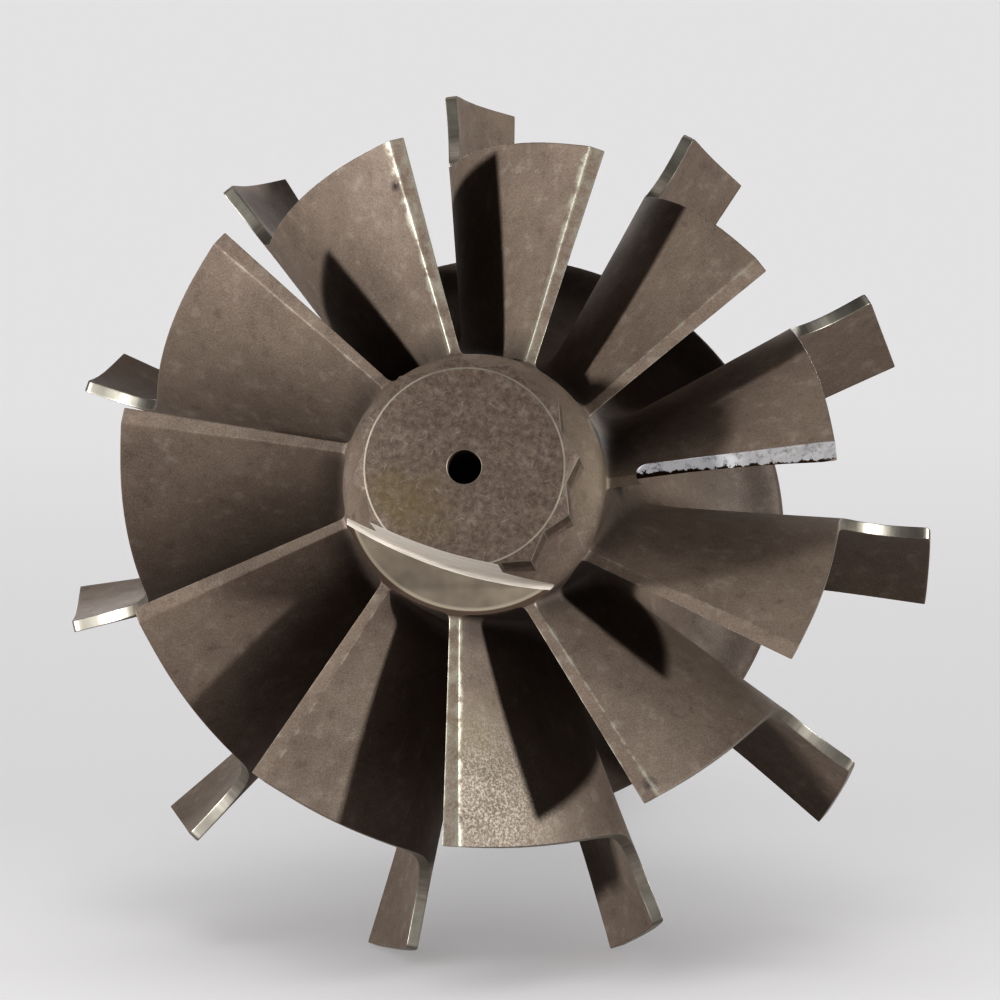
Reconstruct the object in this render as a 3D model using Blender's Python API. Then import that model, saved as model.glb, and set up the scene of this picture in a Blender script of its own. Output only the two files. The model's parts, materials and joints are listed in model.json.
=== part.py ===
"""Turbine wheel and shaft of a truck turbocharger.

The wheel is one investment casting: a hub with a round back disc, eleven thin blades
and a twelve-point nose. It is friction-welded to a turned steel shaft. The rotor lies as
it does on a bench: on the back corners of its two lowest blades and on the shaft's end.
"""
import math

import bmesh
import bpy
from mathutils import Matrix, Vector

# Wheel, in metres. Stations are heights along the rotor axis above the blades' back edges.
BLADES = 11
INDUCER_RADIUS = 0.038
INDUCER_WIDTH = 0.010
EXDUCER_RADIUS = 0.03025
EXDUCER_STATION = 0.0305
SHROUD_FILLET = 0.0055
DISC_RADIUS = 0.0251
DISC_FRONT = 0.0008
DISC_BACK = -0.0009
HUB_RADIUS = 0.0110
HUB_END = 0.0322
BLADE_ROOT_END = 0.0306
BOSS_RADIUS = 0.0098
WELD_STATION = -0.0070

# Camber of a blade: how far it turns round the axis, in degrees, from its straightest station.
CAMBER_STATION = 0.0122
EXDUCER_WRAP = 26.1
EXDUCER_WRAP_POWER = 2.3
INDUCER_WRAP = 6.85
ROOT_EXTRA_WRAP = 0.25
FIRST_BLADE_ANGLE = 96.85

# Thickness of a blade, square to its surface.
TIP_THICKNESS = 0.0010
ROOT_THICKNESS = 0.0022
EDGE_THICKNESS = 0.0007
CORE_RADIUS = 0.0080

# Nose: two crossed hexagons make its twelve points. Centre hole, and the flat ground to balance it.
NOSE_END = 0.0404
POINTS = 12
POINT_RADIUS = 0.00942
POINT_TURN = 6.1
FACE_RADIUS = 0.00819
CHAMFER_ANGLE = 30.0
CENTRE_HOLE_RADIUS = 0.0014
CENTRE_HOLE_DEPTH = 0.007
BALANCE_DIRECTION = 252.5
BALANCE_DEPTH_RADIUS = 0.0071
BALANCE_WALL_RADIUS = 0.038
BALANCE_FLOOR = 0.0307

# Steel shaft: stations below the blades' back edges, and radii.
SHAFT_LENGTH = 0.128
SEAL_RADIUS = 0.0098
SEAL_END = 0.0205
GROOVE_START = 0.0125
GROOVE_WIDTH = 0.0018
GROOVE_RADIUS = 0.0083
JOURNAL_RADIUS = 0.0065
JOURNAL_END = 0.078
RELIEF_RADIUS = 0.0060
RELIEF_START = 0.038
RELIEF_END = 0.060
SEAT_RADIUS = 0.0043
SEAT_END = 0.108
THREAD_RADIUS = 0.0040
END_CHAMFER = 0.0006
FIT_GAP = 0.0003

TURNED_STEPS = 6 * BLADES
MERGE = 0.00001


def clear_scene():
    """Start from an empty scene."""
    for old in list(bpy.data.objects):
        bpy.data.objects.remove(old)


def metal(name, colour, roughness):
    """A plain metal material."""
    made = bpy.data.materials.new(name)
    made.use_nodes = True
    shader = made.node_tree.nodes["Principled BSDF"]
    shader.inputs["Base Color"].default_value = (*colour, 1.0)
    shader.inputs["Metallic"].default_value = 1.0
    shader.inputs["Roughness"].default_value = roughness
    return made


def add_object(name, mesh):
    """Put a mesh in the scene under its own name."""
    made = bpy.data.objects.new(name, mesh)
    bpy.context.scene.collection.objects.link(made)
    return made


def turned(name, profile, steps=TURNED_STEPS):
    """Turn a profile of (radius, station) points, listed from top to bottom, round the axis."""
    mesh = bpy.data.meshes.new(name)
    points = [(radius, 0.0, station) for radius, station in profile]
    mesh.from_pydata(points, [(i, i + 1) for i in range(len(points) - 1)], [])
    made = add_object(name, mesh)
    screw = made.modifiers.new("turning", "SCREW")
    screw.axis = "Z"
    screw.steps = steps
    screw.render_steps = steps
    screw.use_merge_vertices = True
    screw.merge_threshold = MERGE
    return made


def arc(centre, radii, start, end, steps):
    """Points of an ellipse's arc in the (radius, station) plane, from start to end degrees."""
    points = []
    for i in range(steps + 1):
        angle = math.radians(start + (end - start) * i / steps)
        points.append((centre[0] + radii[0] * math.cos(angle), centre[1] + radii[1] * math.sin(angle)))
    return points


def boolean(target, operation, tool):
    """Join or cut with another object, which then stays as a guide."""
    step = target.modifiers.new(tool.name, "BOOLEAN")
    step.operation = operation
    step.object = tool
    tool.hide_render = True
    tool.display_type = "WIRE"


def hub():
    """The turned core: end face, flared hub, round back disc and the boss for the weld."""
    rim_chamfer = 0.0008
    boss_fillet = 0.0015
    flare_height = BLADE_ROOT_END - DISC_FRONT
    profile = [(0.0, HUB_END), (HUB_RADIUS - rim_chamfer, HUB_END), (HUB_RADIUS, HUB_END - rim_chamfer)]
    profile += arc((DISC_RADIUS, BLADE_ROOT_END), (DISC_RADIUS - HUB_RADIUS, flare_height), 180, 270, 9)
    profile.append((DISC_RADIUS, DISC_BACK))
    fillet_centre = (BOSS_RADIUS + boss_fillet, DISC_BACK - boss_fillet)
    profile += arc(fillet_centre, (boss_fillet, boss_fillet), 90, 180, 3)
    profile += [(BOSS_RADIUS, WELD_STATION), (0.0, WELD_STATION)]
    return turned("turbine_wheel_casting", profile)


def shroud_profile():
    """Stations and outer radii of a blade's free edge past the inducer, ending at its root."""
    fillet_centre = (EXDUCER_RADIUS + SHROUD_FILLET, INDUCER_WIDTH + SHROUD_FILLET)
    fillet = arc(fillet_centre, (SHROUD_FILLET, SHROUD_FILLET), 270, 180, 4)
    edge = [(station, radius) for radius, station in fillet]
    runs = 8
    start = edge[-1][0]
    for i in range(1, runs + 1):
        edge.append((start + (EXDUCER_STATION - start) * i / runs, EXDUCER_RADIUS))
    edge.append((BLADE_ROOT_END, HUB_RADIUS))
    return edge


def camber(station, radius):
    """Angle of a blade's middle surface about the axis, in radians."""
    if station > CAMBER_STATION:
        reach = (station - CAMBER_STATION) / (EXDUCER_STATION - CAMBER_STATION)
        wrap = EXDUCER_WRAP * reach ** EXDUCER_WRAP_POWER
    else:
        reach = (CAMBER_STATION - station) / CAMBER_STATION
        wrap = INDUCER_WRAP * reach ** 2
    root_share = (EXDUCER_RADIUS - radius) / (EXDUCER_RADIUS - HUB_RADIUS)
    wrap *= 1.0 + ROOT_EXTRA_WRAP * max(0.0, root_share)
    return math.radians(FIRST_BLADE_ANGLE - wrap)


def thickness(station, radius):
    """Thickness of a blade: thick at the hub, thin at the free edges."""
    tip_share = (radius - HUB_RADIUS) / (EXDUCER_RADIUS - HUB_RADIUS)
    tip_share = min(1.0, max(0.0, tip_share))
    full = ROOT_THICKNESS + (TIP_THICKNESS - ROOT_THICKNESS) * tip_share
    taper = max(0.0, (station - CAMBER_STATION) / (EXDUCER_STATION - CAMBER_STATION))
    return full + (EDGE_THICKNESS - full) * min(1.0, taper) ** 2


def blade_point(station, radius, side):
    """A point on one side of a blade, offset square to the middle surface."""
    step = 0.0001
    angle = camber(station, radius)
    slope = radius * (camber(station + step, radius) - camber(station - step, radius)) / (2 * step)
    middle = Vector((radius * math.cos(angle), radius * math.sin(angle), station))
    around = Vector((-math.sin(angle), math.cos(angle), 0.0))
    normal = (around - slope * Vector((0.0, 0.0, 1.0))).normalized()
    offset = side * thickness(station, radius) / 2
    # The offset is slid back along the surface, so that both sides share a station.
    along = (around * slope + Vector((0.0, 0.0, 1.0))).normalized()
    slide = -offset * normal.z / along.z
    return middle + normal * offset + along * slide


def blade():
    """One blade as a closed solid: two curved sides joined along every free edge."""
    inducer_rows = 4
    corner_radius = EXDUCER_RADIUS + SHROUD_FILLET
    rows = []
    for i in range(inducer_rows):
        station = INDUCER_WIDTH * i / inducer_rows
        rows.append((station, [CORE_RADIUS, corner_radius, INDUCER_RADIUS]))
    for i, (station, radius) in enumerate(shroud_profile()):
        radii = [CORE_RADIUS, radius]
        if i == 0:
            radii.append(INDUCER_RADIUS)
        rows.append((station, radii))
    shape = bmesh.new()
    sides = []
    for side in (-1, 1):
        grid = []
        for station, radii in rows:
            grid.append([shape.verts.new(blade_point(station, radius, side)) for radius in radii])
        for lower, upper in zip(grid, grid[1:]):
            for k in range(min(len(lower), len(upper)) - 1):
                corners = [lower[k], lower[k + 1], upper[k + 1], upper[k]]
                shape.faces.new(corners if side < 0 else corners[::-1])
        sides.append(grid)
    near, far = sides
    outline = [(i, 0) for i in range(len(rows))]
    outline += [(i, 1) for i in range(len(rows) - 1, inducer_rows - 1, -1)]
    outline += [(i, 2) for i in range(inducer_rows, -1, -1)]
    outline += [(0, 1)]
    for (i, k), (m, n) in zip(outline, outline[1:] + outline[:1]):
        shape.faces.new([near[i][k], near[m][n], far[m][n], far[i][k]])
    bmesh.ops.recalc_face_normals(shape, faces=shape.faces)
    mesh = bpy.data.meshes.new("blade")
    shape.to_mesh(mesh)
    shape.free()
    return mesh


def point_outline():
    """Corners of two crossed hexagons: a point and the notch beside it, in turn."""
    notch_radius = POINT_RADIUS * math.cos(math.pi / 6) / math.cos(math.pi / POINTS)
    corners = []
    for i in range(2 * POINTS):
        radius = notch_radius if i % 2 else POINT_RADIUS
        angle = math.radians(POINT_TURN) + math.pi * i / POINTS
        corners.append((radius * math.cos(angle), radius * math.sin(angle)))
    return corners


def pointed_nose():
    """The twelve points that a socket holds, chamfered down to the round face."""
    root = 0.004
    above = 0.001
    bottom = HUB_END - root
    shape = bmesh.new()
    foot = shape.faces.new([shape.verts.new((x, y, bottom)) for x, y in reversed(point_outline())])
    raised = bmesh.ops.extrude_face_region(shape, geom=[foot], use_keep_orig=True)["geom"]
    top = [item for item in raised if isinstance(item, bmesh.types.BMVert)]
    bmesh.ops.translate(shape, verts=top, vec=(0.0, 0.0, NOSE_END + above - bottom))
    bmesh.ops.recalc_face_normals(shape, faces=shape.faces)
    mesh = bpy.data.meshes.new("twelve_points")
    shape.to_mesh(mesh)
    shape.free()
    nose = add_object("twelve_points", mesh)
    wide = 2 * POINT_RADIUS
    drop = (wide - FACE_RADIUS) * math.tan(math.radians(CHAMFER_ANGLE))
    cone = turned("chamfer_cone", [
        (0.0, NOSE_END), (FACE_RADIUS, NOSE_END), (wide, NOSE_END - drop),
        (wide, bottom - root), (0.0, bottom - root)])
    boolean(nose, "INTERSECT", cone)
    return nose


def balance_cutter():
    """A tube whose bore wall is the ground flat, set off the axis so that it clips the nose."""
    past_rim = 0.0004
    above = 0.002
    outer = BALANCE_WALL_RADIUS + HUB_RADIUS - BALANCE_DEPTH_RADIUS + past_rim
    top = NOSE_END + above
    ring = turned("balance_cutter", [
        (BALANCE_WALL_RADIUS, top), (outer, top), (outer, BALANCE_FLOOR),
        (BALANCE_WALL_RADIUS, BALANCE_FLOOR), (BALANCE_WALL_RADIUS, top)])
    offset = BALANCE_WALL_RADIUS - BALANCE_DEPTH_RADIUS
    direction = math.radians(BALANCE_DIRECTION)
    ring.location = (-offset * math.cos(direction), -offset * math.sin(direction), 0.0)
    return ring


def wheel_casting():
    """Hub, blades and nose as one casting, then the ground flat and the centre hole."""
    casting = hub()
    shape = blade()
    for i in range(BLADES):
        one = add_object(f"blade_{i + 1:02d}", shape)
        one.rotation_euler.z = -2 * math.pi * i / BLADES
        boolean(casting, "UNION", one)
    boolean(casting, "UNION", pointed_nose())
    boolean(casting, "DIFFERENCE", balance_cutter())
    above = 0.001
    hole = turned("centre_drill", [
        (0.0, NOSE_END + above), (CENTRE_HOLE_RADIUS, NOSE_END + above),
        (CENTRE_HOLE_RADIUS, NOSE_END - CENTRE_HOLE_DEPTH),
        (0.0, NOSE_END - CENTRE_HOLE_DEPTH - CENTRE_HOLE_RADIUS)], steps=24)
    boolean(casting, "DIFFERENCE", hole)
    casting.data.materials.append(metal("cast_alloy", (0.17, 0.14, 0.12), 0.45))
    return casting


def shaft():
    """The turned steel shaft: seal boss with its ring groove, journals, wheel seat and thread."""
    top = WELD_STATION - FIT_GAP
    groove_end = GROOVE_START + GROOVE_WIDTH
    profile = [
        (0.0, top), (SEAL_RADIUS, top),
        (SEAL_RADIUS, -GROOVE_START), (GROOVE_RADIUS, -GROOVE_START),
        (GROOVE_RADIUS, -groove_end), (SEAL_RADIUS, -groove_end),
        (SEAL_RADIUS, -SEAL_END), (JOURNAL_RADIUS, -SEAL_END),
        (JOURNAL_RADIUS, -RELIEF_START), (RELIEF_RADIUS, -RELIEF_START),
        (RELIEF_RADIUS, -RELIEF_END), (JOURNAL_RADIUS, -RELIEF_END),
        (JOURNAL_RADIUS, -JOURNAL_END), (SEAT_RADIUS, -JOURNAL_END),
        (SEAT_RADIUS, -SEAT_END), (THREAD_RADIUS, -SEAT_END),
        (THREAD_RADIUS, -SHAFT_LENGTH + END_CHAMFER),
        (THREAD_RADIUS - END_CHAMFER, -SHAFT_LENGTH), (0.0, -SHAFT_LENGTH)]
    made = turned("shaft", profile, steps=48)
    made.data.materials.append(metal("turned_steel", (0.42, 0.41, 0.40), 0.3))
    return made


def lowest_corner():
    """How far below the axis the back corners of the two lowest blades reach."""
    heights = []
    for i in range(BLADES):
        turn = Matrix.Rotation(-2 * math.pi * i / BLADES, 3, "Z")
        for side in (-1, 1):
            heights.append((turn @ blade_point(0.0, INDUCER_RADIUS, side)).y)
    return -min(heights)


def lay_down(pieces):
    """Tip the rotor nose up until two blade corners and the shaft's end touch the ground."""
    drop = lowest_corner()
    tilt = math.atan2(drop - THREAD_RADIUS, SHAFT_LENGTH - END_CHAMFER)
    rotor = bpy.data.objects.new("rotor_axis", None)
    bpy.context.scene.collection.objects.link(rotor)
    rotor.rotation_euler.x = math.pi / 2 - tilt
    rotor.location.z = drop * math.cos(tilt)
    for piece in bpy.data.objects:
        if piece != rotor:
            piece.parent = rotor
    centre_over_origin(rotor, pieces)


def centre_over_origin(rotor, pieces):
    """Slide the rotor along the ground until the middle of its box is over the origin."""
    bpy.context.view_layer.update()
    depsgraph = bpy.context.evaluated_depsgraph_get()
    corners = []
    for piece in pieces:
        evaluated = piece.evaluated_get(depsgraph)
        corners += [evaluated.matrix_world @ vertex.co for vertex in evaluated.data.vertices]
    for k in (0, 1):
        values = [corner[k] for corner in corners]
        rotor.location[k] -= (min(values) + max(values)) / 2


clear_scene()
lay_down([wheel_casting(), shaft()])
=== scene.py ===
import json
import math

import bmesh
import bpy
from mathutils import Matrix, Vector


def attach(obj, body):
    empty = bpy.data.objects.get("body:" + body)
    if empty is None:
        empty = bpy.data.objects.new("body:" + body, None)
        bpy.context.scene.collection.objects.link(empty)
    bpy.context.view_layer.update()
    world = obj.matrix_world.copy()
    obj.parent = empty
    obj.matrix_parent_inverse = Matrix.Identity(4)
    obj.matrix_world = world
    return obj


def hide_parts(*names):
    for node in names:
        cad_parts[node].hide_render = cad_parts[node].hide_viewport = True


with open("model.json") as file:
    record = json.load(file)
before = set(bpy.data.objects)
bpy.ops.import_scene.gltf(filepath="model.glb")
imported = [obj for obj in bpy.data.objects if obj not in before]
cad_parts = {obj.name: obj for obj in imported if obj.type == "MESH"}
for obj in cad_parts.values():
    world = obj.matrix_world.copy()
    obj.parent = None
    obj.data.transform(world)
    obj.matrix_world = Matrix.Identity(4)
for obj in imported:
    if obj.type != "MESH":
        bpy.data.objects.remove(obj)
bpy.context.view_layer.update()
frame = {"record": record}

# Camera
# A long lens some 45 cm in front of the wheel, a little above it and to its right. It looks almost
# straight at the nose.
camera = bpy.data.objects.new("camera", bpy.data.cameras.new("camera"))
bpy.context.scene.collection.objects.link(camera)
camera.data.lens = 194.08
camera.data.sensor_width = 36.0
camera.data.clip_start = 0.05
camera.location = (0.03694, -0.51668, 0.08940)
camera.rotation_euler = [math.radians(value) for value in (83.914, 0.211, 4.462)]
bpy.context.scene.camera = camera


# Wheel casting: hub, back disc and blades
# One investment casting in a nickel alloy, poured whole: a flared hub on a round disc, with eleven
# thin blades that leave the hub in cast fillets. Each blade is straight from hub to tip, and turns
# round the hub along the axis: far at its trailing edge, and a little at its leading edge.
SHAFT_LENGTH = 0.128
BLADES = 11
SECTOR = 360.0 / BLADES
COLUMNS = 7
COLUMN = SECTOR / COLUMNS
FIRST_BLADE_ANGLE = 96.85
TIP_RADIUS = 0.038
TIP_WIDTH = 0.010
OUTLET_RADIUS = 0.03025
OUTLET_STATION = 0.0305
SHROUD_FILLET = 0.0055
DISC_RADIUS = 0.0251
DISC_FRONT = 0.0008
DISC_BACK = -0.0009
HUB_RADIUS = 0.0110
HUB_END = 0.0322
BOSS_RADIUS = 0.0098
WELD_STATION = -0.0070
FLARE_TOP = 0.0306
CORE_RADIUS = 0.0080
STRAIGHT_STATION = 0.0122
OUTLET_WRAP = 26.1
OUTLET_WRAP_POWER = 2.3
INLET_WRAP = 6.85
ROOT_EXTRA_WRAP = 0.25
TIP_THICKNESS = 0.0010
ROOT_EXTRA_THICKNESS = 0.0012
EDGE_THICKNESS = 0.0007
SMOOTH_BELOW = math.radians(40.0)

# The rotor is made standing, nose up, with the blades' back edges at station 0 of its axis. It is
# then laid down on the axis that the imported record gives, resting on two blade corners.
shaft_end = next(mount for mount in frame["record"]["mounts"] if mount["name"] == "shaft_end_face")
nose_way = -Vector(shaft_end["axis"]).normalized()
across = Vector((1.0, 0.0, 0.0))
rotor = Matrix((across, nose_way.cross(across), nose_way)).transposed().to_4x4()
rotor.translation = Vector(shaft_end["pos_m"]) + nose_way * SHAFT_LENGTH


def only(piece):
    """Select one piece and make it active."""
    bpy.ops.object.select_all(action="DESELECT")
    bpy.context.view_layer.objects.active = piece
    piece.select_set(True)


def edit(piece):
    """Open one piece in edit mode, at its vertices."""
    only(piece)
    bpy.ops.object.mode_set(mode="EDIT")
    bpy.ops.mesh.select_mode(type="VERT")


def close(piece):
    """Leave edit mode with every face pointing outwards."""
    bpy.ops.mesh.select_all(action="SELECT")
    bpy.ops.mesh.normals_make_consistent(inside=False)
    bpy.ops.object.mode_set(mode="OBJECT")


def finish_modifier(piece, kind, **settings):
    """Add a modifier with its settings and apply it."""
    only(piece)
    step = piece.modifiers.new(kind.lower(), kind)
    for name, value in settings.items():
        setattr(step, name, value)
    bpy.ops.object.modifier_apply(modifier=step.name)


def pick(piece, wanted):
    """Select the vertices that pass a test, with the edges and faces between them."""
    shape = bmesh.from_edit_mesh(piece.data)
    for vertex in shape.verts:
        vertex.select = wanted(vertex)
    shape.select_flush_mode()
    bmesh.update_edit_mesh(piece.data, loop_triangles=False, destructive=False)


def turn(degrees):
    """Turn what is selected anticlockwise round the axis, seen from the nose."""
    # With no window the operator turns the other way.
    bpy.ops.transform.rotate(value=-math.radians(degrees), orient_axis="Z", center_override=(0.0, 0.0, 0.0))


def widen(share):
    """Move what is selected away from the axis by a share of its radius."""
    bpy.ops.transform.resize(value=(share, share, 1.0), center_override=(0.0, 0.0, 0.0))


def lift(height):
    """Move what is selected along the axis."""
    bpy.ops.transform.translate(value=(0.0, 0.0, height))


def next_ring(old, new):
    """Extrude the selected ring from one (radius, station) to the next."""
    bpy.ops.mesh.extrude_edges_move()
    lift(new[1] - old[1])
    widen(new[0] / old[0])


def wrap(station, radius):
    """How far a blade has turned clockwise round the hub, in degrees."""
    if station > STRAIGHT_STATION:
        along = (station - STRAIGHT_STATION) / (OUTLET_STATION - STRAIGHT_STATION)
        turned = OUTLET_WRAP * along ** OUTLET_WRAP_POWER
    else:
        turned = INLET_WRAP * ((STRAIGHT_STATION - station) / STRAIGHT_STATION) ** 2
    depth = (OUTLET_RADIUS - radius) / (OUTLET_RADIUS - HUB_RADIUS)
    return turned * (1.0 + ROOT_EXTRA_WRAP * max(0.0, depth))


def shroud_radius(station):
    """Radius of a blade's free edge."""
    if station <= TIP_WIDTH:
        return TIP_RADIUS
    if station >= TIP_WIDTH + SHROUD_FILLET:
        return OUTLET_RADIUS
    below = TIP_WIDTH + SHROUD_FILLET - station
    return OUTLET_RADIUS + SHROUD_FILLET - math.sqrt(SHROUD_FILLET ** 2 - below ** 2)


def on_circle(radius, degrees):
    """A point in the plane across the axis."""
    return Vector((radius * math.cos(math.radians(degrees)), radius * math.sin(math.radians(degrees))))


def blade_angle(station, radius):
    """Angle of a blade's middle at a point: on the straight line from the core to the free edge."""
    station = min(station, OUTLET_STATION)
    outer = shroud_radius(station)
    core = on_circle(CORE_RADIUS, FIRST_BLADE_ANGLE - wrap(station, CORE_RADIUS))
    edge = on_circle(outer, FIRST_BLADE_ANGLE - wrap(station, outer))
    line = edge - core
    half = core.dot(line)
    root = math.sqrt(half ** 2 - line.dot(line) * (core.dot(core) - radius ** 2))
    share = (-half + root) / line.dot(line)
    point = core + line * share
    return math.degrees(math.atan2(point.y, point.x))


def half_width(station, radius, extra):
    """Half the blade's thickness at a point, measured round the axis in degrees."""
    inward = min(1.0, max(0.0, (OUTLET_RADIUS - radius) / (OUTLET_RADIUS - HUB_RADIUS)))
    full = TIP_THICKNESS + ROOT_EXTRA_THICKNESS * inward
    late = max(0.0, (station - STRAIGHT_STATION) / (OUTLET_STATION - STRAIGHT_STATION))
    thick = full + (EDGE_THICKNESS - full) * min(1.0, late) ** 2
    step = 0.0002
    low = min(station, OUTLET_STATION - step)
    lean = radius * math.radians(blade_angle(low + step, radius) - blade_angle(low, radius)) / step
    return math.degrees((thick / 2 + extra) * math.sqrt(1.0 + lean ** 2) / radius)


def flare(station):
    """Radius of the hub at a station."""
    down = min(1.0, max(0.0, (FLARE_TOP - station) / (FLARE_TOP - DISC_FRONT)))
    return DISC_RADIUS - (DISC_RADIUS - HUB_RADIUS) * math.sqrt(1.0 - down ** 2)


# A row runs from the hub to a blade's free edge: station of its foot on the hub, station where the
# blade proper starts, its fillet, and radius and station of its end on the free edge.
ROWS = [
    (0.0308, 0.0306, 0.0002, OUTLET_RADIUS, 0.03050),
    (0.0303, 0.0304, 0.0003, OUTLET_RADIUS, 0.03032),
    (0.0275, 0.0275, 0.0005, OUTLET_RADIUS, 0.0276),
    (0.0242, 0.0242, 0.0008, OUTLET_RADIUS, 0.0246),
    (0.0208, 0.0208, 0.0010, OUTLET_RADIUS, 0.0216),
    (0.0174, 0.0174, 0.0012, OUTLET_RADIUS, 0.0186),
    (0.0141, 0.0141, 0.0014, 0.03027, 0.0157),
    (0.0111, 0.0111, 0.0015, 0.03095, 0.0129),
    (0.0085, 0.0085, 0.0015, 0.03240, 0.0111),
    (0.0063, 0.0063, 0.0015, 0.03480, 0.0101),
    (0.0045, 0.0045, 0.0015, 0.03780, TIP_WIDTH),
    (0.0031, 0.0031, 0.0015, TIP_RADIUS, 0.0098),
    (0.0021, 0.0021, 0.0015, TIP_RADIUS, 0.0066),
    (0.0014, 0.0014, 0.0014, TIP_RADIUS, 0.0034),
    (0.0009, 0.0003, 0.0012, TIP_RADIUS, 0.00015),
    (-0.0001, 0.0, 0.0010, TIP_RADIUS, 0.0)]
# Above the rows the hub's rim rises in a fillet into the nose, and ends inside it.
RIM_RINGS = [
    (0.0072, HUB_END), (0.0074, 0.0364), (0.0080, 0.0364), (0.0088, 0.0346), (0.0097, 0.0331),
    (0.01045, 0.0322), (0.0109, 0.0316)]
FIRST_ROW = len(RIM_RINGS)
LAST_ROW = FIRST_ROW + len(ROWS) - 1
rings = RIM_RINGS + [(flare(row[0]), row[0]) for row in ROWS]
# The flare ends at the disc's rounded rim, and the disc's back runs in to the weld boss.
rings[LAST_ROW - 1] = (0.0249, DISC_FRONT)
rings += [
    (DISC_RADIUS, -0.0006), (0.0249, DISC_BACK), (0.0240, DISC_BACK), (0.0180, DISC_BACK),
    (0.0125, DISC_BACK), (0.0110, -0.0011), (0.0101, -0.0019), (BOSS_RADIUS, -0.0032),
    (BOSS_RADIUS, -0.0067), (0.0097, WELD_STATION), (0.0085, WELD_STATION)]

bpy.ops.object.select_all(action="DESELECT")
bpy.ops.mesh.primitive_circle_add(vertices=COLUMNS * BLADES, radius=rings[0][0], fill_type="NGON")
casting = bpy.context.object
casting.name = "wheel_casting"
edit(casting)
bpy.ops.mesh.select_all(action="SELECT")
turn(FIRST_BLADE_ANGLE - 90.0 - COLUMN / 2)
lift(rings[0][1])
shape = bmesh.from_edit_mesh(casting.data)
for name in ("ring", "side", "step", "blade"):
    shape.verts.layers.int.new(name)
side = shape.verts.layers.int["side"]
blade = shape.verts.layers.int["blade"]
for vertex in shape.verts:
    angle = math.degrees(math.atan2(vertex.co.y, vertex.co.x)) - FIRST_BLADE_ANGLE
    offset = (angle + SECTOR / 2) % SECTOR - SECTOR / 2
    # A blade rises from columns 0 to 3. The others are the floor of the passage.
    vertex[side] = round(offset / COLUMN + 1.5)
    vertex[blade] = round((angle - offset) / SECTOR) % BLADES
for i in range(1, len(rings)):
    next_ring(rings[i - 1], rings[i])
    shape = bmesh.from_edit_mesh(casting.data)
    ring = shape.verts.layers.int["ring"]
    for vertex in shape.verts:
        if vertex.select:
            vertex[ring] = i
bpy.ops.mesh.edge_face_add()
shape = bmesh.from_edit_mesh(casting.data)
ring = shape.verts.layers.int["ring"]
side = shape.verts.layers.int["side"]
step = shape.verts.layers.int["step"]

# Each blade stands between four columns: its two sides, and one close inside each for a crisp edge.
INSIDE = 0.72
places = []
for i in range(len(rings)):
    row = ROWS[min(max(i - FIRST_ROW, 0), len(ROWS) - 1)]
    middle = blade_angle(row[1], flare(row[1]))
    half = half_width(row[1], flare(row[1]), row[2])
    between = (half + SECTOR / 2) / 2
    if FIRST_ROW <= i <= LAST_ROW:
        places.append((rings[i][0], rings[i][1], middle, half))
    pick(casting, lambda v: v[ring] == i)
    turn(middle - FIRST_BLADE_ANGLE)
    spread = {-1: -between, 0: -half, 1: -INSIDE * half, 2: INSIDE * half, 3: half, 4: between}
    for column, angle in spread.items():
        pick(casting, lambda v: v[ring] == i and v[side] == column)
        turn(angle - (column - 1.5) * COLUMN)

# The blades are drawn out of the hub in steps: two for the fillet, three along the blade, and two
# close together for a crisp rim.
BLADE_STEPS = 7
PARTS_OF_LENGTH = (0.33, 0.62, 0.88)
LEAST_RISE = 0.0002
RIM_EDGE = 0.00014
pick(casting, lambda v: False)
for face in shape.faces:
    face.select_set(all(0 <= v[side] <= 3 and FIRST_ROW <= v[ring] <= LAST_ROW for v in face.verts))
for number in range(1, BLADE_STEPS + 1):
    if number > 1:
        pick(casting, lambda v: v[step] == number - 1)
    bpy.ops.mesh.extrude_region_move()
    shape = bmesh.from_edit_mesh(casting.data)
    ring = shape.verts.layers.int["ring"]
    side = shape.verts.layers.int["side"]
    step = shape.verts.layers.int["step"]
    for vertex in shape.verts:
        if vertex.select:
            vertex[step] = number
    for j, row in enumerate(ROWS):
        start, fillet, end_radius, end_station = row[1:]
        start_radius = flare(start)
        length = math.hypot(end_radius - start_radius, end_station - start)
        rise = LEAST_RISE + 0.5 * fillet
        reaches = [rise, 2.5 * rise] + [part * length for part in PARTS_OF_LENGTH]
        reach = (reaches + [length - RIM_EDGE, length])[number - 1]
        radius = start_radius + (end_radius - start_radius) * reach / length
        station = start + (end_station - start) * reach / length
        middle = blade_angle(station, radius)
        half = half_width(station, radius, 0.1 * fillet if number == 1 else 0.0)
        old_radius, old_station, old_middle, old_half = places[j]
        pick(casting, lambda v: v[step] == number and v[ring] == FIRST_ROW + j)
        widen(radius / old_radius)
        lift(station - old_station)
        for column, share in enumerate((-1.0, -INSIDE, INSIDE, 1.0)):
            pick(casting, lambda v: v[step] == number and v[ring] == FIRST_ROW + j and v[side] == column)
            turn(middle - old_middle + share * (half - old_half))
        places[j] = (radius, station, middle, half)

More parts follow.
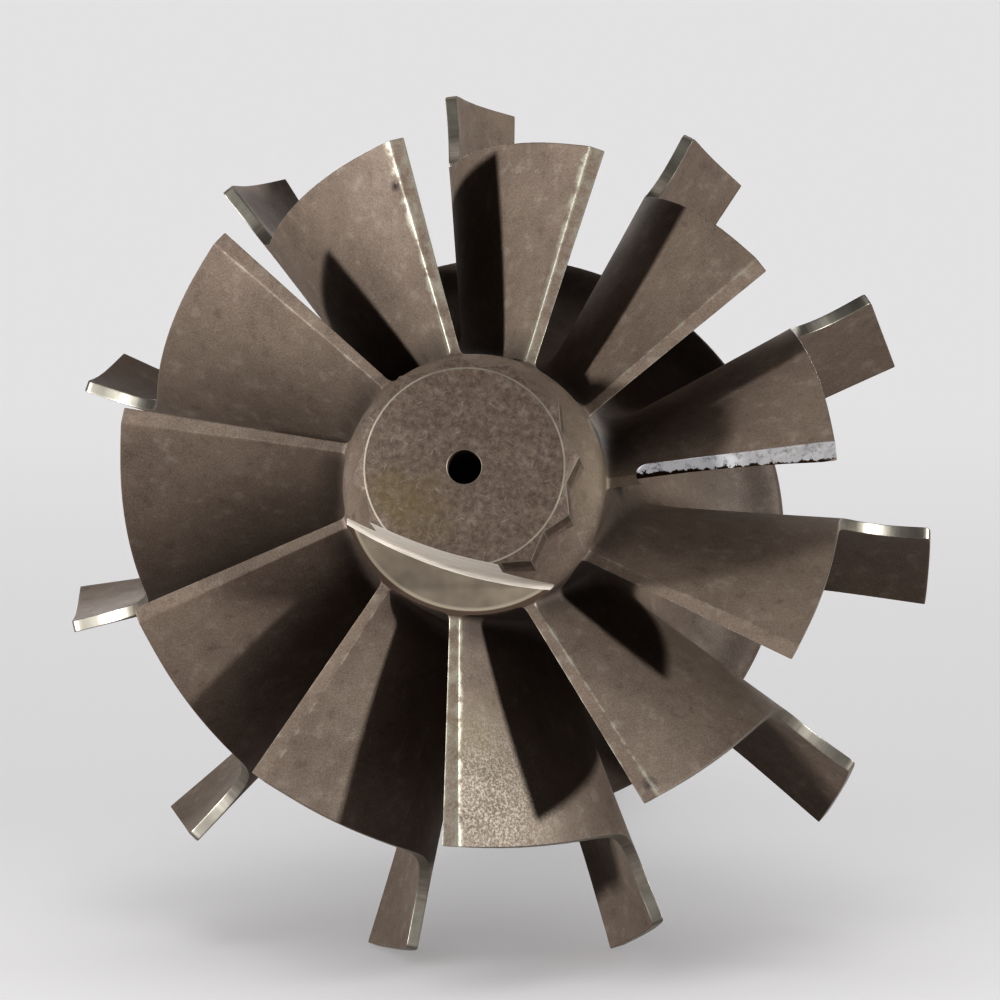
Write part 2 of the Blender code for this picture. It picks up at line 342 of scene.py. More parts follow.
# The blades' outer rims are ground to size. Their trailing corners are rubbed bright, each blade's by
# its own amount, from the top blade anticlockwise.
RUBBED = (0.9, 1.0, 0.3, 0.15, 0.15, 0.3, 0.9, 0.5, 0.3, 0.1, 0.4)
shape = bmesh.from_edit_mesh(casting.data)
worn = shape.verts.layers.float.new("worn_corner")
ring = shape.verts.layers.int["ring"]
side = shape.verts.layers.int["side"]
step = shape.verts.layers.int["step"]
blade = shape.verts.layers.int["blade"]
for vertex in shape.verts:
    if vertex[ring] == FIRST_ROW and vertex[step] > 0:
        vertex[worn] = RUBBED[vertex[blade]] * (1.0 if vertex[side] in (0, 3) else 0.3)
for face in shape.faces:
    if all(vertex[step] == BLADE_STEPS for vertex in face.verts):
        face.material_index = 1
close(casting)
finish_modifier(casting, "SUBSURF", levels=2, render_levels=2)
bpy.ops.object.shade_smooth_by_angle(angle=SMOOTH_BELOW)


def linear(colour):
    """A colour's linear red, green, blue and alpha, from its sRGB hex."""
    values = [int(colour[i:i + 2], 16) / 255.0 for i in (0, 2, 4)]
    values = [value / 12.92 if value <= 0.04045 else ((value + 0.055) / 1.055) ** 2.4 for value in values]
    return values + [1.0]


def add(tree, kind, inputs, output=None, **settings):
    """Add a node, set or link its inputs, and give the output named, or its first live one."""
    made = tree.nodes.new("ShaderNode" + kind)
    for name, value in settings.items():
        setattr(made, name, value)
    live = [socket for socket in made.inputs if socket.enabled]
    for name, value in inputs.items():
        socket = live[name] if isinstance(name, int) else next(item for item in live if item.name == name)
        if isinstance(value, bpy.types.NodeSocket):
            tree.links.new(value, socket)
        else:
            socket.default_value = value
    return made.outputs[output] if output else next(item for item in made.outputs if item.enabled)


def new_material(name):
    """A material with the place of each point in the standing rotor, and its tree and shader."""
    material = bpy.data.materials.new(name)
    material.use_nodes = True
    tree = material.node_tree
    standing = rotor.inverted()
    place = add(tree, "Mapping", {
        "Vector": add(tree, "TexCoord", {}, "Object"),
        "Location": standing.translation, "Rotation": standing.to_euler()})
    return material, tree, tree.nodes["Principled BSDF"], place


# Cast nickel alloy, blasted after casting and browned by exhaust heat. The thin brown oxide spreads
# the light widely, so the blades look matt. The blasting shows as a fine grain, drawn at 0.15 mm,
# twice its real size, and the oxide as clouds some 8 mm wide and mottling some 1.5 mm wide.
alloy, tree, shader, place = new_material("cast_nickel_alloy")
cloud = add(tree, "TexNoise", {"Vector": place, "Scale": 130.0, "Detail": 5.0, "Roughness": 0.65})
mottle = add(tree, "TexNoise", {"Vector": place, "Scale": 700.0, "Detail": 3.0, "Roughness": 0.6})
grain = add(tree, "TexNoise", {"Vector": place, "Scale": 7000.0, "Detail": 2.0, "Roughness": 0.6})
share = add(tree, "MapRange", {"Value": cloud, "From Min": 0.3, "From Max": 0.7})
colour = add(tree, "Mix", {0: share, 1: linear("5a4c43"), 2: linear("695b50")}, data_type="RGBA")
share = add(tree, "MapRange", {"Value": mottle, "From Min": 0.55, "From Max": 0.8, "To Max": 0.5})
colour = add(tree, "Mix", {0: share, 1: colour, 2: linear("80746a")}, data_type="RGBA")
share = add(tree, "MapRange", {"Value": mottle, "From Min": 0.42, "From Max": 0.2, "To Max": 0.5})
colour = add(tree, "Mix", {0: share, 1: colour, 2: linear("40342d")}, data_type="RGBA")
share = add(tree, "MapRange", {
    "Value": grain, "From Min": 0.35, "From Max": 0.65, "To Min": -0.035, "To Max": 0.035})
colour = add(tree, "BrightContrast", {"Color": colour, "Bright": 0.0, "Contrast": share})

# Painted light and shade: the casting is made a little paler towards the top blade, and darker towards the
# lowest.
upward = add(tree, "SeparateXYZ", {"Vector": place}, "Y")
share = add(tree, "MapRange", {
    "Value": upward, "From Min": -0.035, "From Max": 0.035, "To Min": 0.89, "To Max": 1.08})
colour = add(tree, "HueSaturation", {"Value": share, "Color": colour})

# Partly soot, partly painted shade: the disc and the hub's flank between the blades are darkened, where the
# gas turns and the passages lie in shade.
station = add(tree, "SeparateXYZ", {"Vector": place}, "Z")
share = add(tree, "MapRange", {
    "Value": station, "From Min": 0.010, "From Max": 0.002, "To Max": 0.45},
    interpolation_type="SMOOTHSTEP")
flat = add(tree, "VectorMath", {0: place, 1: (1.0, 1.0, 0.0)}, operation="MULTIPLY")
radius = add(tree, "VectorMath", {0: flat}, operation="LENGTH")
inside = add(tree, "MapRange", {
    "Value": radius, "From Min": 0.0256, "From Max": 0.0245}, interpolation_type="SMOOTHSTEP")
share = add(tree, "Math", {0: share, 1: inside}, operation="MULTIPLY")
flank = add(tree, "MapRange", {"Value": radius, "From Min": 0.0140, "From Max": 0.0118, "To Max": 0.5})
below = add(tree, "MapRange", {"Value": station, "From Min": 0.0312, "From Max": 0.0295})
share = add(tree, "Math", {0: flank, 1: below, 2: share}, operation="MULTIPLY_ADD")
colour = add(tree, "Mix", {0: share, 1: colour, 2: linear("1c1412")}, data_type="RGBA")

# The nose is browner, and rubbed by sockets: its end is mottled, with bright scratches some 1 mm long,
# drawn 0.13 mm wide, twice the real width, so that they show.
above = add(tree, "MapRange", {"Value": station, "From Min": 0.0360, "From Max": 0.0370})
within = add(tree, "MapRange", {"Value": radius, "From Min": 0.0100, "From Max": 0.0097})
nose_part = add(tree, "Math", {0: above, 1: within}, operation="MULTIPLY")
patch = add(tree, "TexNoise", {"Vector": place, "Scale": 1900.0, "Detail": 4.0, "Roughness": 0.7})
patch = add(tree, "MapRange", {
    "Value": patch, "From Min": 0.35, "From Max": 0.65, "To Min": 0.7, "To Max": 0.25})
share = add(tree, "Math", {0: nose_part, 1: patch}, operation="MULTIPLY")
colour = add(tree, "Mix", {0: share, 1: colour, 2: linear("2b1b12")}, data_type="RGBA")
scratches = 0.0
for degrees in (20.0, 75.0, 140.0):
    along = add(tree, "Mapping", {
        "Vector": place, "Rotation": (0.0, 0.0, math.radians(degrees)), "Scale": (0.0011, 0.00013, 0.0011)},
        vector_type="TEXTURE")
    lines = add(tree, "TexNoise", {"Vector": along, "Scale": 1.0, "Detail": 1.0})
    lines = add(tree, "MapRange", {"Value": lines, "From Min": 0.69, "From Max": 0.80})
    scratches = add(tree, "Math", {0: lines, 1: scratches}, operation="MAXIMUM")
scratches = add(tree, "Math", {0: scratches, 1: nose_part}, operation="MULTIPLY")

# Marks of use and of casting, and one spot of painted shade, each with its place in the standing rotor, its
# reach, how much of it shows, and its colour.
MARKS = [
    # Stains on the nose's end, on the hub's right side and on the lowest blade.
    ((-0.0042, -0.0034, 0.0404), 0.0045, 0.42, "564829"),
    ((-0.0064, -0.0019, 0.0404), 0.0030, 0.35, "4f4223"),
    ((0.0106, 0.0010, 0.0320), 0.0070, 0.40, "5a4f3c"),
    ((0.0003, -0.0208, 0.0294), 0.0045, 0.35, "5e553c"),
    # Small dark pits on a blade, on the hub's rim and on another blade.
    ((-0.00712, 0.02543, 0.03013), 0.0006, 0.90, "1c120e"),
    ((-0.0095, -0.0028, 0.0322), 0.0006, 0.90, "140d0b"),
    ((0.0150, -0.0248, 0.0305), 0.0009, 0.80, "1c130f"),
    # Painted shade on the hub beside the root of the blade to the right, where it dims a lamp's sheen.
    ((0.0106, 0.0050, 0.0265), 0.0045, 0.65, "120c0a")]
for centre, reach, strength, stain in MARKS:
    away = add(tree, "VectorMath", {0: place, 1: centre}, operation="DISTANCE")
    away = add(tree, "Math", {0: mottle, 1: reach, 2: away}, operation="MULTIPLY_ADD")
    share = add(tree, "MapRange", {
        "Value": away, "From Min": reach * 1.4, "From Max": reach * 0.6, "To Max": strength})
    colour = add(tree, "Mix", {0: share, 1: colour, 2: linear(stain)}, data_type="RGBA")

# The rubbed corners are bare metal. The pale bare flecks low on the lowest blade, 0.25 mm wide, are painted
# glints.
GLINT_SPOT = (0.0014, -0.0268, 0.0284)
corner = add(tree, "Attribute", {}, "Fac", attribute_name="worn_corner")
share = add(tree, "MapRange", {
    "Value": mottle, "From Min": 0.38, "From Max": 0.62, "To Min": 0.35, "To Max": 1.2})
corner = add(tree, "Math", {0: corner, 1: share}, operation="MULTIPLY")
corner = add(tree, "MapRange", {"Value": corner, "From Min": 0.16, "From Max": 0.55, "To Max": 0.8})
away = add(tree, "VectorMath", {0: place, 1: GLINT_SPOT}, operation="DISTANCE")
painted_glint = add(tree, "MapRange", {"Value": away, "From Min": 0.0090, "From Max": 0.0025})
speck = add(tree, "TexNoise", {"Vector": place, "Scale": 4200.0, "Detail": 3.0, "Roughness": 0.7})
share = add(tree, "MapRange", {"Value": speck, "From Min": 0.44, "From Max": 0.60, "To Max": 0.4})
painted_glint = add(tree, "Math", {0: painted_glint, 1: share}, operation="MULTIPLY")
bare_and_glint = add(tree, "Math", {0: corner, 1: painted_glint}, operation="MAXIMUM")
bare_and_glint = add(tree, "Math", {0: scratches, 1: 0.3, 2: bare_and_glint}, operation="MULTIPLY_ADD")
# Bare metal and the painted glints both take the pale colour.
colour = add(tree, "Mix", {0: bare_and_glint, 1: colour, 2: linear("8f897d")}, data_type="RGBA")
tree.links.new(colour, shader.inputs["Base Color"])
metallic = add(tree, "MapRange", {"Value": bare_and_glint, "To Min": 0.5, "To Max": 1.0})
tree.links.new(metallic, shader.inputs["Metallic"])
roughness = add(tree, "MapRange", {
    "Value": cloud, "From Min": 0.3, "From Max": 0.7, "To Min": 0.68, "To Max": 0.60})
roughness = add(tree, "Mix", {0: bare_and_glint, 1: roughness, 2: 0.5})
tree.links.new(roughness, shader.inputs["Roughness"])
height = add(tree, "Math", {0: grain, 1: mottle}, operation="ADD")
bump = add(tree, "Bump", {"Height": height, "Strength": 0.4, "Distance": 0.00005})
tree.links.new(bump, shader.inputs["Normal"])
casting.data.materials.append(alloy)


def ground_alloy(name, colour, roughness, depth):
    """Nickel alloy cut by a grinding wheel: bare metal, with fine lines that run round the axis."""
    material, tree, shader, place = new_material(name)
    # The lines are some 0.02 mm apart on the real one, and drawn at 0.2 mm so that they show.
    along = add(tree, "VectorMath", {0: place, 1: (300.0, 300.0, 5000.0)}, operation="MULTIPLY")
    lines = add(tree, "TexNoise", {"Vector": along, "Scale": 1.0, "Detail": 2.0, "Roughness": 0.7})
    share = add(tree, "MapRange", {
        "Value": lines, "From Min": 0.3, "From Max": 0.7, "To Min": 0.8, "To Max": 1.15})
    tone = add(tree, "VectorMath", {0: linear(colour)[:3], "Scale": share}, operation="SCALE")
    tree.links.new(tone, shader.inputs["Base Color"])
    bump = add(tree, "Bump", {"Height": lines, "Strength": 0.5, "Distance": depth})
    tree.links.new(bump, shader.inputs["Normal"])
    shader.inputs["Metallic"].default_value = 1.0
    shader.inputs["Roughness"].default_value = roughness
    return material, tree, tone, place


# The blades' rims, ground to size on a cylindrical grinder and dulled by use: a soft grey shine.
casting.data.materials.append(ground_alloy("ground_alloy_rim", "837c73", 0.46, 0.00001)[0])


# Nose
# Part of the same casting: twelve points, like two crossed hexagons, that a socket holds while the
# rotor is built. Its end is turned flat, with a chamfer that trims the points and a centre hole.
NOSE_END = 0.0404
POINTS = 12
POINT_RADIUS = 0.00942
POINT_TURN = 6.1
FACE_RADIUS = 0.00819
CHAMFER_RISE = math.tan(math.radians(30.0))
CENTRE_HOLE_RADIUS = 0.0014
CENTRE_HOLE_DEPTH = 0.007
NOSE_FOOT = 0.0312
WORN_EDGE = 0.00008
STEPS_PER_FLAT = 4

hole_floor = NOSE_END - CENTRE_HOLE_DEPTH
turned = [
    (CENTRE_HOLE_RADIUS * 0.2, hole_floor - CENTRE_HOLE_RADIUS), (CENTRE_HOLE_RADIUS, hole_floor),
    (CENTRE_HOLE_RADIUS, NOSE_END), (0.0045, NOSE_END), (FACE_RADIUS, NOSE_END)]
columns = 2 * POINTS * STEPS_PER_FLAT
bpy.ops.object.select_all(action="DESELECT")
bpy.ops.mesh.primitive_circle_add(vertices=columns, radius=turned[0][0], fill_type="NGON")
nose = bpy.context.object
nose.name = "twelve_point_nose"
edit(nose)
bpy.ops.mesh.select_all(action="SELECT")
turn(POINT_TURN - 90.0)
lift(turned[0][1])
for i in range(1, len(turned)):
    next_ring(turned[i - 1], turned[i])
bpy.ops.mesh.extrude_edges_move()
lift(WORN_EDGE)


def from_nearest_point(vertex):
    """Angle between a vertex and the nearest point of the nose, in degrees."""
    angle = math.degrees(math.atan2(vertex.co.y, vertex.co.x)) - POINT_TURN
    return abs((angle + 180.0 / POINTS) % (360.0 / POINTS) - 180.0 / POINTS)


# The rim is drawn out to the twelve points, line by line from a point to the valley beside it. Each
# flat is straight, as a hexagon's side is.
for i in range(STEPS_PER_FLAT + 1):
    from_point = i * 180.0 / POINTS / STEPS_PER_FLAT
    outline = POINT_RADIUS * math.cos(math.pi / 6) / math.cos(math.radians(30.0 - from_point))
    pick(nose, lambda v: (
        v.co.z > NOSE_END + WORN_EDGE / 2 and abs(from_nearest_point(v) - from_point) < 0.1))
    widen(outline / FACE_RADIUS)
    lift((FACE_RADIUS - outline) * CHAMFER_RISE - WORN_EDGE)
pick(nose, lambda v: math.hypot(v.co.x, v.co.y) > FACE_RADIUS * 1.01)
bpy.ops.mesh.extrude_edges_move()
bpy.ops.transform.resize(value=(1.0, 1.0, 0.0), center_override=(0.0, 0.0, NOSE_FOOT))
bpy.ops.mesh.edge_face_add()
close(nose)
nose.data.materials.append(alloy)
# Sockets have rubbed the edges of the points to bare metal.
nose.data.materials.append(ground_alloy("rubbed_edge", "7b7268", 0.65, 0.00001)[0])
finish_modifier(
    nose, "BEVEL", width=WORN_EDGE, segments=1, limit_method="ANGLE", angle_limit=math.radians(20.0),
    material=1)
bpy.ops.object.shade_smooth_by_angle(angle=math.radians(20.0))
finish_modifier(
    casting, "BOOLEAN", operation="UNION", object=nose, solver="EXACT", material_mode="TRANSFER")
bpy.data.objects.remove(nose)


# Balance cut
# A place ground into the nose and the hub's rim by a large wheel, across the axis, until the rotor ran
# true. It leaves a slightly rounded wall up the nose and a flat floor out to the hub's rim, with a
# small fillet between them.
CUT_DIRECTION = 252.5
CUT_DEPTH_RADIUS = 0.0071
CUT_WALL_RADIUS = 0.038
CUT_FLOOR = 0.0307
CUT_HEIGHT = 0.016
CUT_PAST_RIM = 0.0004
CUT_FILLET = 0.0007
outer = CUT_WALL_RADIUS + HUB_RADIUS - CUT_DEPTH_RADIUS + CUT_PAST_RIM
bpy.ops.object.select_all(action="DESELECT")
bpy.ops.mesh.primitive_cylinder_add(
    vertices=384, radius=outer, depth=CUT_HEIGHT, location=(0.0, 0.0, CUT_FLOOR + CUT_HEIGHT / 2))
cutter = bpy.context.object
edit(cutter)
bpy.ops.mesh.select_mode(type="FACE")
bpy.ops.mesh.select_all(action="DESELECT")
shape = bmesh.from_edit_mesh(cutter.data)
for face in shape.faces:
    face.select_set(abs(face.normal.z) > 0.9)
# The cutter is a ring. Its bore leaves the wall, its underside leaves the floor, and the rounded edge
# between them leaves the fillet.
bpy.ops.mesh.inset(thickness=outer - CUT_WALL_RADIUS)
bpy.ops.mesh.bridge_edge_loops()
bpy.ops.mesh.select_mode(type="EDGE")
bpy.ops.mesh.select_all(action="DESELECT")
shape = bmesh.from_edit_mesh(cutter.data)
for edge in shape.edges:
    edge.select_set(all(v.co.z < 0.0 and v.co.xy.length < CUT_WALL_RADIUS + 0.0001 for v in edge.verts))
bpy.ops.mesh.bevel(offset=CUT_FILLET, segments=4)
bpy.ops.object.mode_set(mode="OBJECT")
cutter.location.xy -= on_circle(CUT_WALL_RADIUS - CUT_DEPTH_RADIUS, CUT_DIRECTION)
# A coarse wheel leaves a rough bright metal, which shows pale even where the light only grazes it.
cutter.data.materials.append(ground_alloy("ground_alloy_wall", "c4bbb2", 0.75, 0.00002)[0])
# The floor of the cut has gone brown again. A pale line near its outer edge is a painted highlight, and a
# dark band beyond it, on the hub's old rim, is painted shade.
browned, tree, tone, place = ground_alloy("ground_alloy_floor", "70665c", 0.72, 0.00002)
flat = add(tree, "VectorMath", {0: place, 1: (1.0, 1.0, 0.0)}, operation="MULTIPLY")
radius = add(tree, "VectorMath", {0: flat}, operation="LENGTH")
for start, end, colour in ((0.0103, 0.0105, "847a6e"), (0.0106, 0.0107, "4f423a")):
    share = add(tree, "MapRange", {"Value": radius, "From Min": start, "From Max": end})
    tone = add(tree, "Mix", {0: share, 1: tone, 2: linear(colour)}, data_type="RGBA")
tree.links.new(tone, tree.nodes["Principled BSDF"].inputs["Base Color"])
cutter.data.materials.append(browned)
for face in cutter.data.polygons:
    face.material_index = int(abs(face.normal.z) > 0.9)
finish_modifier(
    casting, "BOOLEAN", operation="DIFFERENCE", object=cutter, solver="EXACT", material_mode="TRANSFER")
bpy.data.objects.remove(cutter)


# Ground blade edge
# On the blade to the right the trailing edge is ground away at a slant, by hand, for most of its
# length. It is the newest cut, so its metal is bare and grey. It starts in a round end.
EDGE_DIRECTION = 7.0
EDGE_START = 0.0138
EDGE_LENGTH = 0.020
EDGE_WIDTH = 0.0021
EDGE_DEPTH = 0.004
EDGE_SLANT = 8.5
EDGE_RISE = 3.0
EDGE_OFFSET = (0.0, -0.0019, 0.0290)
EDGE_BURR_SHADE = (0.051, 1.0, 0.0)
bpy.ops.object.select_all(action="DESELECT")
bpy.ops.mesh.primitive_cube_add(size=1.0)
cutter = bpy.context.object
edit(cutter)
bpy.ops.mesh.select_all(action="SELECT")
bpy.ops.transform.resize(value=(EDGE_LENGTH, EDGE_WIDTH, EDGE_DEPTH))
bpy.ops.transform.translate(value=(EDGE_START + EDGE_LENGTH / 2, EDGE_WIDTH / 2, EDGE_DEPTH / 2))
bpy.ops.mesh.select_mode(type="EDGE")
bpy.ops.mesh.select_all(action="DESELECT")
shape = bmesh.from_edit_mesh(cutter.data)
for edge in shape.edges:
    first, second = (vertex.co for vertex in edge.verts)
    edge.select_set(first.x < EDGE_START + 0.001 and (first - second).xy.length < 0.00001)
bpy.ops.mesh.bevel(offset=EDGE_WIDTH * 0.45, segments=6)
bpy.ops.object.mode_set(mode="OBJECT")
cutter.rotation_euler = [math.radians(value) for value in (-EDGE_SLANT, -EDGE_RISE, EDGE_DIRECTION)]
cutter.location = EDGE_OFFSET

# Painted light: it is painted paler towards its round end, where a lamp's shadow lies on it. The grinder
# has skipped in places, and has left a ragged brown burr along the lower side, whose dark colour is partly
# painted shade.
fresh, tree, tone, place = ground_alloy("fresh_ground_alloy", "95908f", 0.72, 0.00003)
local = add(tree, "Mapping", {
    "Vector": place, "Location": EDGE_OFFSET, "Rotation": cutter.rotation_euler}, vector_type="TEXTURE")
along = add(tree, "SeparateXYZ", {"Vector": local}, "X")
# Painted light towards the round end.
share = add(tree, "MapRange", {"Value": along, "From Min": 0.0232, "From Max": 0.0190})
tone = add(tree, "Mix", {0: share, 1: tone, 2: linear("c9c5c6")}, data_type="RGBA")
rough = add(tree, "TexNoise", {"Vector": place, "Scale": 1800.0, "Detail": 4.0, "Roughness": 0.7})
share = add(tree, "MapRange", {"Value": rough, "From Min": 0.52, "From Max": 0.72, "To Max": 0.8})
tone = add(tree, "Mix", {0: share, 1: tone, 2: linear("5d564e")}, data_type="RGBA")
# The burr's dark band is partly painted shade.
above = add(tree, "VectorMath", {0: local, 1: EDGE_BURR_SHADE}, "Value", operation="DOT_PRODUCT")
above = add(tree, "Math", {0: rough, 1: -0.0012, 2: above}, operation="MULTIPLY_ADD")
share = add(tree, "MapRange", {"Value": above, "From Min": 0.00155, "From Max": 0.00145})
tone = add(tree, "Mix", {0: share, 1: tone, 2: linear("2e2219")}, data_type="RGBA")
tree.links.new(tone, tree.nodes["Principled BSDF"].inputs["Base Color"])
cutter.data.materials.append(fresh)
finish_modifier(
    casting, "BOOLEAN", operation="DIFFERENCE", object=cutter, solver="EXACT", material_mode="TRANSFER")
bpy.data.objects.remove(cutter)

# The cuts keep a sharp outline, and the casting is smooth elsewhere.
for slot, material in enumerate(casting.data.materials):
    if material.name in ("ground_alloy_wall", "ground_alloy_floor", "fresh_ground_alloy"):
        casting.active_material_index = slot
        edit(casting)
        bpy.ops.mesh.select_all(action="DESELECT")
        bpy.ops.object.material_slot_select()
        bpy.ops.mesh.region_to_loop()
        bpy.ops.mesh.mark_sharp()
        bpy.ops.object.mode_set(mode="OBJECT")
only(casting)
bpy.ops.object.shade_smooth_by_angle(angle=SMOOTH_BELOW, keep_sharp_edges=True)
casting.data.transform(rotor)
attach(casting, "root")
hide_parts("turbine_wheel_casting")


# Shaft
# Hardened steel, turned and ground, and friction-welded to the casting's boss: a seal boss with its
# ring groove, two bearing journals with a relief between them, the compressor wheel's seat, a thread.
SEAL_RADIUS = 0.0098
JOURNAL_RADIUS = 0.0065
RELIEF_RADIUS = 0.0060
SEAT_RADIUS = 0.0043
THREAD_RADIUS = 0.0040
THREAD_PITCH = 0.001
THREAD_TURNS = 19
THREAD_START = -0.1096
CENTRE_RADIUS = 0.0012
EDGE_BREAK = 0.0001
profile = [
    (0.0020, WELD_STATION), (SEAL_RADIUS, WELD_STATION),
    (SEAL_RADIUS, -0.0125), (0.0083, -0.0125), (0.0083, -0.0143), (SEAL_RADIUS, -0.0143),
    (SEAL_RADIUS, -0.0205), (JOURNAL_RADIUS - 0.0003, -0.0205), (JOURNAL_RADIUS - 0.0003, -0.0215),
    (JOURNAL_RADIUS, -0.0219), (JOURNAL_RADIUS, -0.038), (RELIEF_RADIUS, -0.0385),
    (RELIEF_RADIUS, -0.0595), (JOURNAL_RADIUS, -0.060), (JOURNAL_RADIUS, -0.078),
    (SEAT_RADIUS - 0.0002, -0.078), (SEAT_RADIUS - 0.0002, -0.0788), (SEAT_RADIUS, -0.0790),
    (SEAT_RADIUS, -0.108), (THREAD_RADIUS - 0.0005, -0.1083), (THREAD_RADIUS - 0.0005, -0.1096),
    (THREAD_RADIUS, -0.1101), (THREAD_RADIUS, -0.1274), (THREAD_RADIUS - 0.0006, -SHAFT_LENGTH),
    (CENTRE_RADIUS, -SHAFT_LENGTH), (0.0002, -SHAFT_LENGTH + CENTRE_RADIUS)]
bpy.ops.object.select_all(action="DESELECT")
bpy.ops.mesh.primitive_circle_add(vertices=96, radius=profile[0][0], fill_type="NGON")
shaft = bpy.context.object
shaft.name = "turned_shaft"
edit(shaft)
bpy.ops.mesh.select_all(action="SELECT")
lift(profile[0][1])
for i in range(1, len(profile)):
    next_ring(profile[i - 1], profile[i])
bpy.ops.mesh.edge_face_add()
close(shaft)
finish_modifier(
    shaft, "BEVEL", width=EDGE_BREAK, segments=2, limit_method="ANGLE", angle_limit=math.radians(30.0))

# The thread is one helical groove, cut with a four-sided tool that runs out past the shaft's end.
bpy.ops.object.select_all(action="DESELECT")
bpy.ops.mesh.primitive_circle_add(
    vertices=4, radius=0.48 * THREAD_PITCH, location=(THREAD_RADIUS + 0.0001, 0.0, 0.0),
    rotation=(math.radians(90.0), 0.0, 0.0))
tool = bpy.context.object
bpy.ops.object.transform_apply(location=True, rotation=True, scale=True)
tool.location.z = THREAD_START
finish_modifier(
    tool, "SCREW", axis="Z", angle=math.radians(360.0), screw_offset=-THREAD_PITCH, iterations=THREAD_TURNS,
    steps=32, render_steps=32, use_merge_vertices=True, merge_threshold=0.000001)
edit(tool)
bpy.ops.mesh.select_all(action="SELECT")
bpy.ops.mesh.fill_holes(sides=4)
close(tool)
finish_modifier(shaft, "BOOLEAN", operation="DIFFERENCE", object=tool, solver="EXACT")
bpy.data.objects.remove(tool)
only(shaft)
bpy.ops.object.shade_smooth_by_angle(angle=math.radians(30.0))

# Hardened alloy steel, turned and then ground on its journals: fine rings round the axis and a soft
# shine, a little browned near the wheel by heat. The rings are drawn at 0.3 mm so that they show.
steel, tree, shader, place = new_material("turned_steel")
along = add(tree, "VectorMath", {0: place, 1: (60.0, 60.0, 3300.0)}, operation="MULTIPLY")
lines = add(tree, "TexNoise", {"Vector": along, "Scale": 1.0, "Detail": 3.0, "Roughness": 0.7})
station = add(tree, "SeparateXYZ", {"Vector": place}, "Z")
share = add(tree, "MapRange", {
    "Value": station, "From Min": -0.035, "From Max": -0.008}, interpolation_type="SMOOTHSTEP")
colour = add(tree, "Mix", {0: share, 1: linear("8d8d8c"), 2: linear("6f6256")}, data_type="RGBA")
tree.links.new(colour, shader.inputs["Base Color"])
roughness = add(tree, "MapRange", {
    "Value": lines, "From Min": 0.3, "From Max": 0.7, "To Min": 0.26, "To Max": 0.4})
tree.links.new(roughness, shader.inputs["Roughness"])
shader.inputs["Metallic"].default_value = 1.0
bump = add(tree, "Bump", {"Height": lines, "Strength": 0.4, "Distance": 0.00001})
tree.links.new(bump, shader.inputs["Normal"])
shaft.data.materials.append(steel)
shaft.data.transform(rotor)
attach(shaft, "root")
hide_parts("shaft")


# Studio
# Matt white paper under the rotor, out to the horizon. Two small lamps in front, left and right, throw
# each blade's sharp shadow on the next, a wide one above fills in from the top, and three distant
# lights fall on the paper.
bpy.ops.object.select_all(action="DESELECT")
bpy.ops.mesh.primitive_plane_add(size=40.0)
floor = bpy.context.object
floor.name = "white_paper"
paper = bpy.data.materials.new("matt_white_paper")
paper.use_nodes = True
tree = paper.node_tree
shader = tree.nodes["Principled BSDF"]
# Painted light and shade: from front to back under the rotor the sheet is painted a little darker, and far
# away it pales again.
away = add(tree, "SeparateXYZ", {"Vector": add(tree, "TexCoord", {}, "Object")}, "Y")
share = add(tree, "MapRange", {
    "Value": away, "From Min": -0.06, "From Max": 0.03}, interpolation_type="SMOOTHSTEP")
colour = add(tree, "Mix", {0: share, 1: linear("b5b4b5"), 2: linear("a9a8a9")}, data_type="RGBA")
share = add(tree, "MapRange", {
    "Value": away, "From Min": 0.08, "From Max": 0.5}, interpolation_type="SMOOTHSTEP")
colour = add(tree, "Mix", {0: share, 1: colour, 2: linear("b0afb0")}, data_type="RGBA")
tree.links.new(colour, shader.inputs["Base Color"])
shader.inputs["Roughness"].default_value = 0.8
shader.inputs["Specular IOR Level"].default_value = 0.0
floor.data.materials.append(paper)

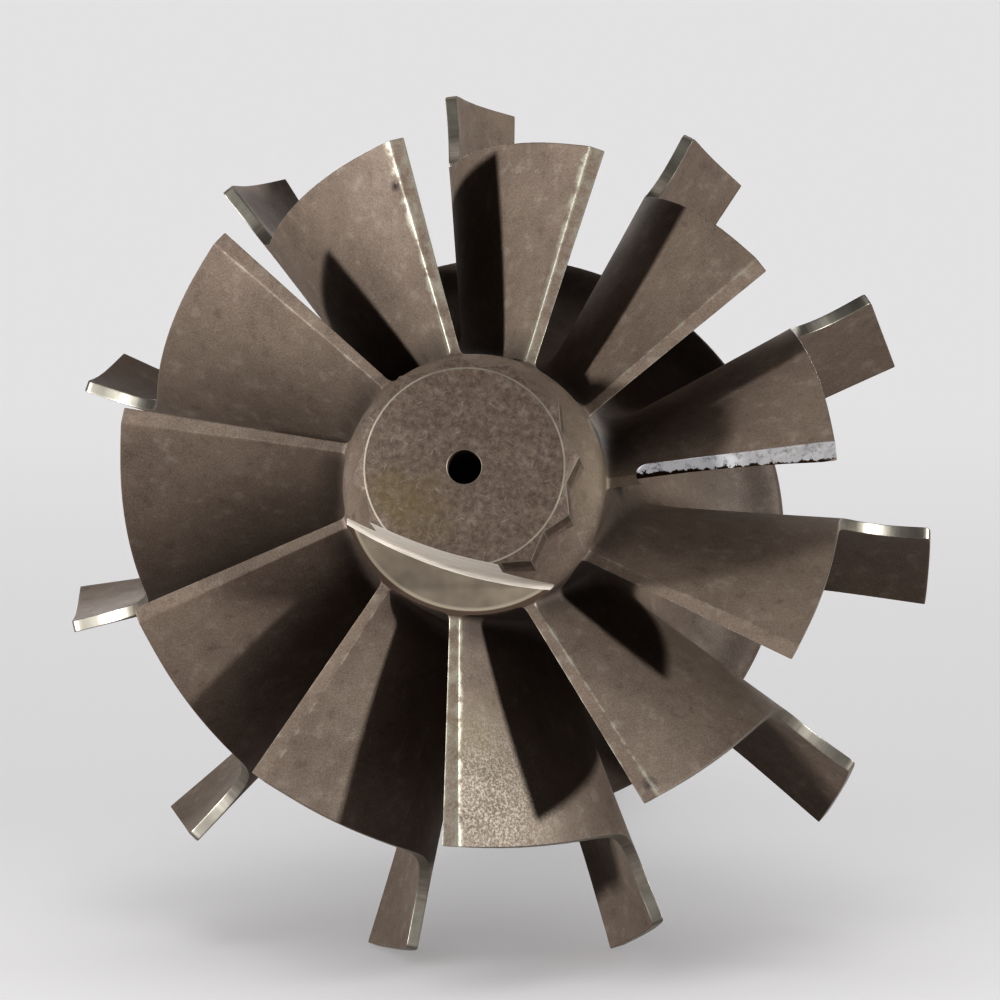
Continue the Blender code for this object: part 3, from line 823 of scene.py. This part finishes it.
# The lamps light only the rotor, and the distant lights only the paper, as flags and grids would do it
# in a studio. Two weak lamps behind show the rotor's back. Each lamp has its place, its aim, its size,
# its power in watts and its tint.
WHEEL = Vector((0.0, -0.065, 0.037))
BOSS = Vector((0.0, 0.02, 0.03))
COOL = (0.93, 1.0, 1.03)
WHITE = (1.0, 1.0, 1.0)
LAMPS = [
    ("left_lamp", WHEEL + Vector((-0.449, -0.379, 0.122)), WHEEL, (0.045, 0.045), 6.2, COOL),
    ("right_lamp", WHEEL + Vector((0.533, -0.252, 0.111)), WHEEL, (0.045, 0.045), 5.0, COOL),
    ("top_lamp", Vector((0.0, 0.12, 1.2)), Vector((0.0, 0.0, 0.0)), (1.2, 0.9), 4.5, WHITE),
    ("back_left_lamp", Vector((-0.25, 0.6, 0.3)), BOSS, (0.2, 0.2), 1.0, WHITE),
    ("back_right_lamp", Vector((0.25, 0.6, 0.3)), BOSS, (0.2, 0.2), 1.0, WHITE)]
lit = {}
for name, members in (("rotor", (casting, shaft)), ("paper", (floor,))):
    lit[name] = bpy.data.collections.new("lit_" + name)
    for member in members:
        lit[name].objects.link(member)
for name, location, aim, (width, height), watts, tint in LAMPS:
    lamp = bpy.data.lights.new(name, "AREA")
    lamp.shape = "RECTANGLE"
    lamp.size = width
    lamp.size_y = height
    lamp.energy = watts
    lamp.color = tint
    item = bpy.data.objects.new(name, lamp)
    bpy.context.scene.collection.objects.link(item)
    item.location = location
    item.rotation_euler = (aim - location).to_track_quat("-Z", "Y").to_euler()
    item.light_linking.receiver_collection = lit["rotor"]

# On the paper the narrower light draws the shadow's outline, the wide one deepens it near the rotor,
# and the last, with no shadow, keeps it pale. Each has its strength, its width and tilt in degrees, and
# whether it throws a shadow.
PAPER_LIGHTS = [
    ("soft_light", 0.55, 25.0, 33.0, True), ("sky_light", 2.15, 110.0, 22.0, True),
    ("fill_light", 1.62, 0.0, 0.0, False)]
for name, strength, width, tilt, shadow in PAPER_LIGHTS:
    lamp = bpy.data.lights.new(name, "SUN")
    lamp.energy = strength
    lamp.angle = math.radians(width)
    lamp.use_shadow = shadow
    item = bpy.data.objects.new(name, lamp)
    bpy.context.scene.collection.objects.link(item)
    item.rotation_euler = (math.radians(tilt), 0.0, 0.0)
    item.light_linking.receiver_collection = lit["paper"]

# The room is dark, but the camera sees it as pale as the paper.
world = bpy.data.worlds.new("dark_room")
bpy.context.scene.world = world
world.use_nodes = True
backdrop = world.node_tree.nodes["Background"]
backdrop.inputs["Color"].default_value = linear("c6c6c6")
seen = world.node_tree.nodes.new("ShaderNodeLightPath").outputs["Is Camera Ray"]
world.node_tree.links.new(seen, backdrop.inputs["Strength"])

# The photo has deep shadows and little between them and its lights.
bpy.context.scene.view_settings.view_transform = "Standard"
bpy.context.scene.view_settings.look = "High Contrast"
